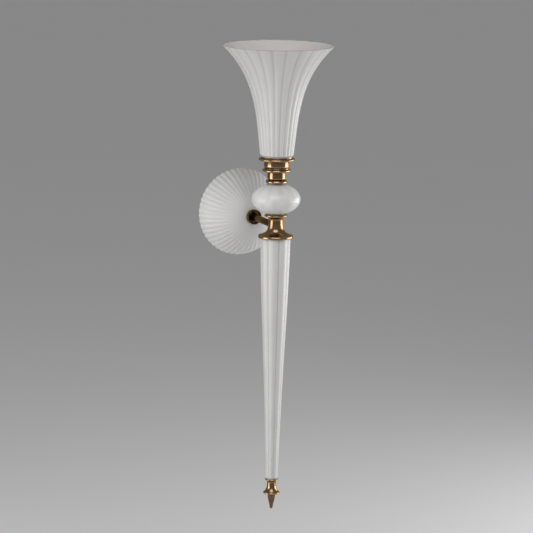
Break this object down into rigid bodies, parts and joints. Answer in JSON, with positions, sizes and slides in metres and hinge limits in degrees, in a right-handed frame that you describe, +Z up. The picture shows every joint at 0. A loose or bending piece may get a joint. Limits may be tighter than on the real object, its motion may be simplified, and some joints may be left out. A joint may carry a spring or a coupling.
{
  "type": "torch wall sconce",
  "caption": "Torch-shaped wall light: a flared ribbed opal glass shade on turned brass and a glass ball, over a fluted glass stem, held off the wall by a brass arm from a ribbed glass rosette.",
  "frame": {"origin": "centre of the wall plate on the wall, where the arm's axis meets it; the wall is the plane Y = 0", "axes": "+Z up along the torch; +Y into the wall; the room lies towards -Y; the torch's upright axis is at X = 0, Y = -0.175 m"},
  "size_m": [0.1944, 0.2722, 0.8179],
  "materials": {
    "opal_glass": "glossy opal",
    "aged_brass": "aged",
    "plain_brass": "plain",
    "clear_seal": "matt",
    "zinc_steel": "zinc plated",
    "block_plastic": "matt",
    "holder_ceramic": "plain",
    "lamp_glass": "clear",
    "lamp_metal": "nickel plated",
    "lamp_black": "glossy",
    "lamp_rod": "matt"
  },
  "bodies": {
    "root": {"wall_plate": "zinc_steel", "arm_boss": "plain_brass", "boss_screws": "zinc_steel", "terminal_block": "block_plastic", "terminal_screws": "plain_brass", "earth_washer": "zinc_steel", "earth_screw": "plain_brass", "arm_tube": "aged_brass", "glass_rosette": "opal_glass", "rosette_seal": "clear_seal", "rosette_cup": "aged_brass", "cup_grub_screw": "zinc_steel", "bell_body": "aged_brass", "stem_glass": "opal_glass", "stem_seal": "clear_seal", "tip_seal": "clear_seal", "tip_cup": "aged_brass", "tip_spike": "aged_brass", "tie_rod": "zinc_steel", "ball_glass": "opal_glass", "ball_lower_seal": "clear_seal", "ball_upper_seal": "clear_seal", "column_foot_disc": "aged_brass", "column_lower_bead": "aged_brass", "column_middle_disc": "aged_brass", "column_upper_bead": "aged_brass", "gallery_dish": "aged_brass", "shade_seal": "clear_seal", "trumpet_shade": "opal_glass", "shade_clamp_disc": "plain_brass", "shade_nut": "plain_brass", "centre_tube": "zinc_steel", "holder_cap": "holder_ceramic", "holder_body": "holder_ceramic", "screw_sleeve": "plain_brass", "centre_contact": "plain_brass"},
    "lamp_foot": {"lamp_button": "lamp_metal", "lamp_base": "lamp_black"},
    "lamp": {"lamp_cap": "lamp_metal", "lamp_bulb": "lamp_glass", "lamp_stalk": "lamp_glass", "lamp_rods": "lamp_rod"}
  },
  "joints": [
    {"name": "lamp_rise", "type": "slide", "parent": "root", "child": "lamp_foot", "axis": [0, 0, 1], "range_m": [0, 0.0085]},
    {"name": "lamp_turn", "type": "hinge", "parent": "lamp_foot", "child": "lamp", "pos_m": [0, -0.175, 0.16], "axis": [0, 0, 1], "range_deg": [0, 1080]}
  ],
  "couplings": [
    {"joint": "lamp_rise", "follows": "lamp_turn", "m_per_rad": 0.00044882}
  ]
}
